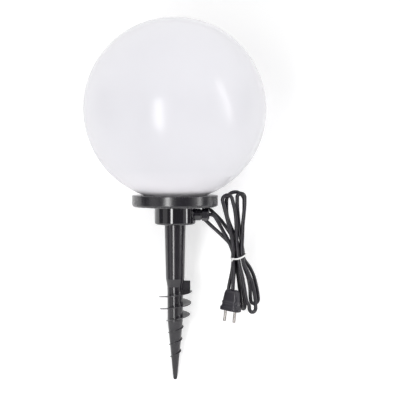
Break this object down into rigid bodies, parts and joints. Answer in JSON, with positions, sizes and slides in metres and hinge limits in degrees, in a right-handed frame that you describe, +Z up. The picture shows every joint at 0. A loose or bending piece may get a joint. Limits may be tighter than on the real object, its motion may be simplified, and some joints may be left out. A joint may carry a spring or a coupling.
{
  "type": "garden globe light",
  "caption": "Opal globe light on a black base with a screw-in ground spike, a cable gland and a mains lead folded in a tied hank with a flat plug.",
  "frame": {"origin": "tip of the ground spike, on the light's axis", "axes": "+Z up along the light's axis, +X towards the cable gland, -Y towards the front of the picture"},
  "size_m": [0.2999, 0.3, 0.6001],
  "materials": {
    "opal_globe": "moulded opal plastic, glossy",
    "black_base": "moulded black plastic, glossy",
    "black_collar": "moulded black plastic, satin",
    "black_spike": "moulded black plastic, satin",
    "black_gland": "moulded black nylon, semi-gloss",
    "black_rubber": "extruded rubber, satin",
    "seal_rubber": "moulded rubber, matt",
    "plug_rubber": "moulded rubber, matt",
    "pin_metal": "nickel-plated brass, polished",
    "tie_white": "plastic-coated wire, matt white",
    "screw_steel": "zinc-plated steel",
    "holder_plastic": "moulded heat-proof plastic, white",
    "holder_brass": "pressed brass",
    "core_brown": "extruded plastic insulation, brown",
    "core_blue": "extruded plastic insulation, blue",
    "bulb_white": "frosted white plastic",
    "bulb_metal": "pressed aluminium",
    "bulb_black": "black glazed insulator",
    "board_white": "white-lacquered aluminium board",
    "led_yellow": "phosphor-coated chip"
  },
  "bodies": {
    "spike": {"ground_spike": "black_spike"},
    "head": {"base_housing": "black_base", "base_gasket": "seal_rubber", "collar_ring": "black_collar", "globe_seal": "seal_rubber", "base_screws": "screw_steel", "lampholder_screws": "screw_steel", "clamp_screws": "screw_steel", "gland_body": "black_gland", "gland_o_ring": "seal_rubber", "gland_locknut": "black_gland", "gland_insert": "seal_rubber", "lampholder_body": "holder_plastic", "lampholder_thread": "holder_brass", "lampholder_contact": "holder_brass", "terminal_screws": "screw_steel", "cord_hank": "black_rubber", "cord_lead": "black_rubber", "cord_tail": "black_rubber", "cord_inner_end": "black_rubber", "core_brown": "core_brown", "core_blue": "core_blue", "cord_clamp": "black_base", "hank_tie": "tie_white", "plug_body": "plug_rubber", "plug_pins": "pin_metal"},
    "globe": {"globe": "opal_globe"},
    "bulb_foot": {"bulb_contact": "bulb_metal", "bulb_insulator": "bulb_black"},
    "bulb": {"bulb_cap": "bulb_metal", "bulb_body": "bulb_white", "led_board": "board_white", "leds": "led_yellow", "bulb_diffuser": "bulb_white"},
    "gland_nut": {"gland_nut": "black_gland"}
  },
  "joints": [
    {"name": "head_lift", "type": "slide", "parent": "spike", "child": "head", "axis": [0, 0, 1], "range_m": [0, 0.03]},
    {"name": "globe_turn", "type": "hinge", "parent": "head", "child": "globe", "pos_m": [0, 0, 0.45], "axis": [0, 0, 1], "range_deg": [0, 30]},
    {"name": "bulb_rise", "type": "slide", "parent": "head", "child": "bulb_foot", "axis": [0, 0, 1], "range_m": [0, 0.0145]},
    {"name": "bulb_turn", "type": "hinge", "parent": "bulb_foot", "child": "bulb", "pos_m": [0, 0, 0.33], "axis": [0, 0, 1], "range_deg": [0, 1440]},
    {"name": "gland_nut_turn", "type": "hinge", "parent": "head", "child": "gland_nut", "pos_m": [0.05, 0, 0.277], "axis": [1, 0, 0], "range_deg": [0, 360]}
  ],
  "couplings": [
    {"joint": "bulb_rise", "follows": "bulb_turn", "m_per_rad": 0.00057296}
  ]
}
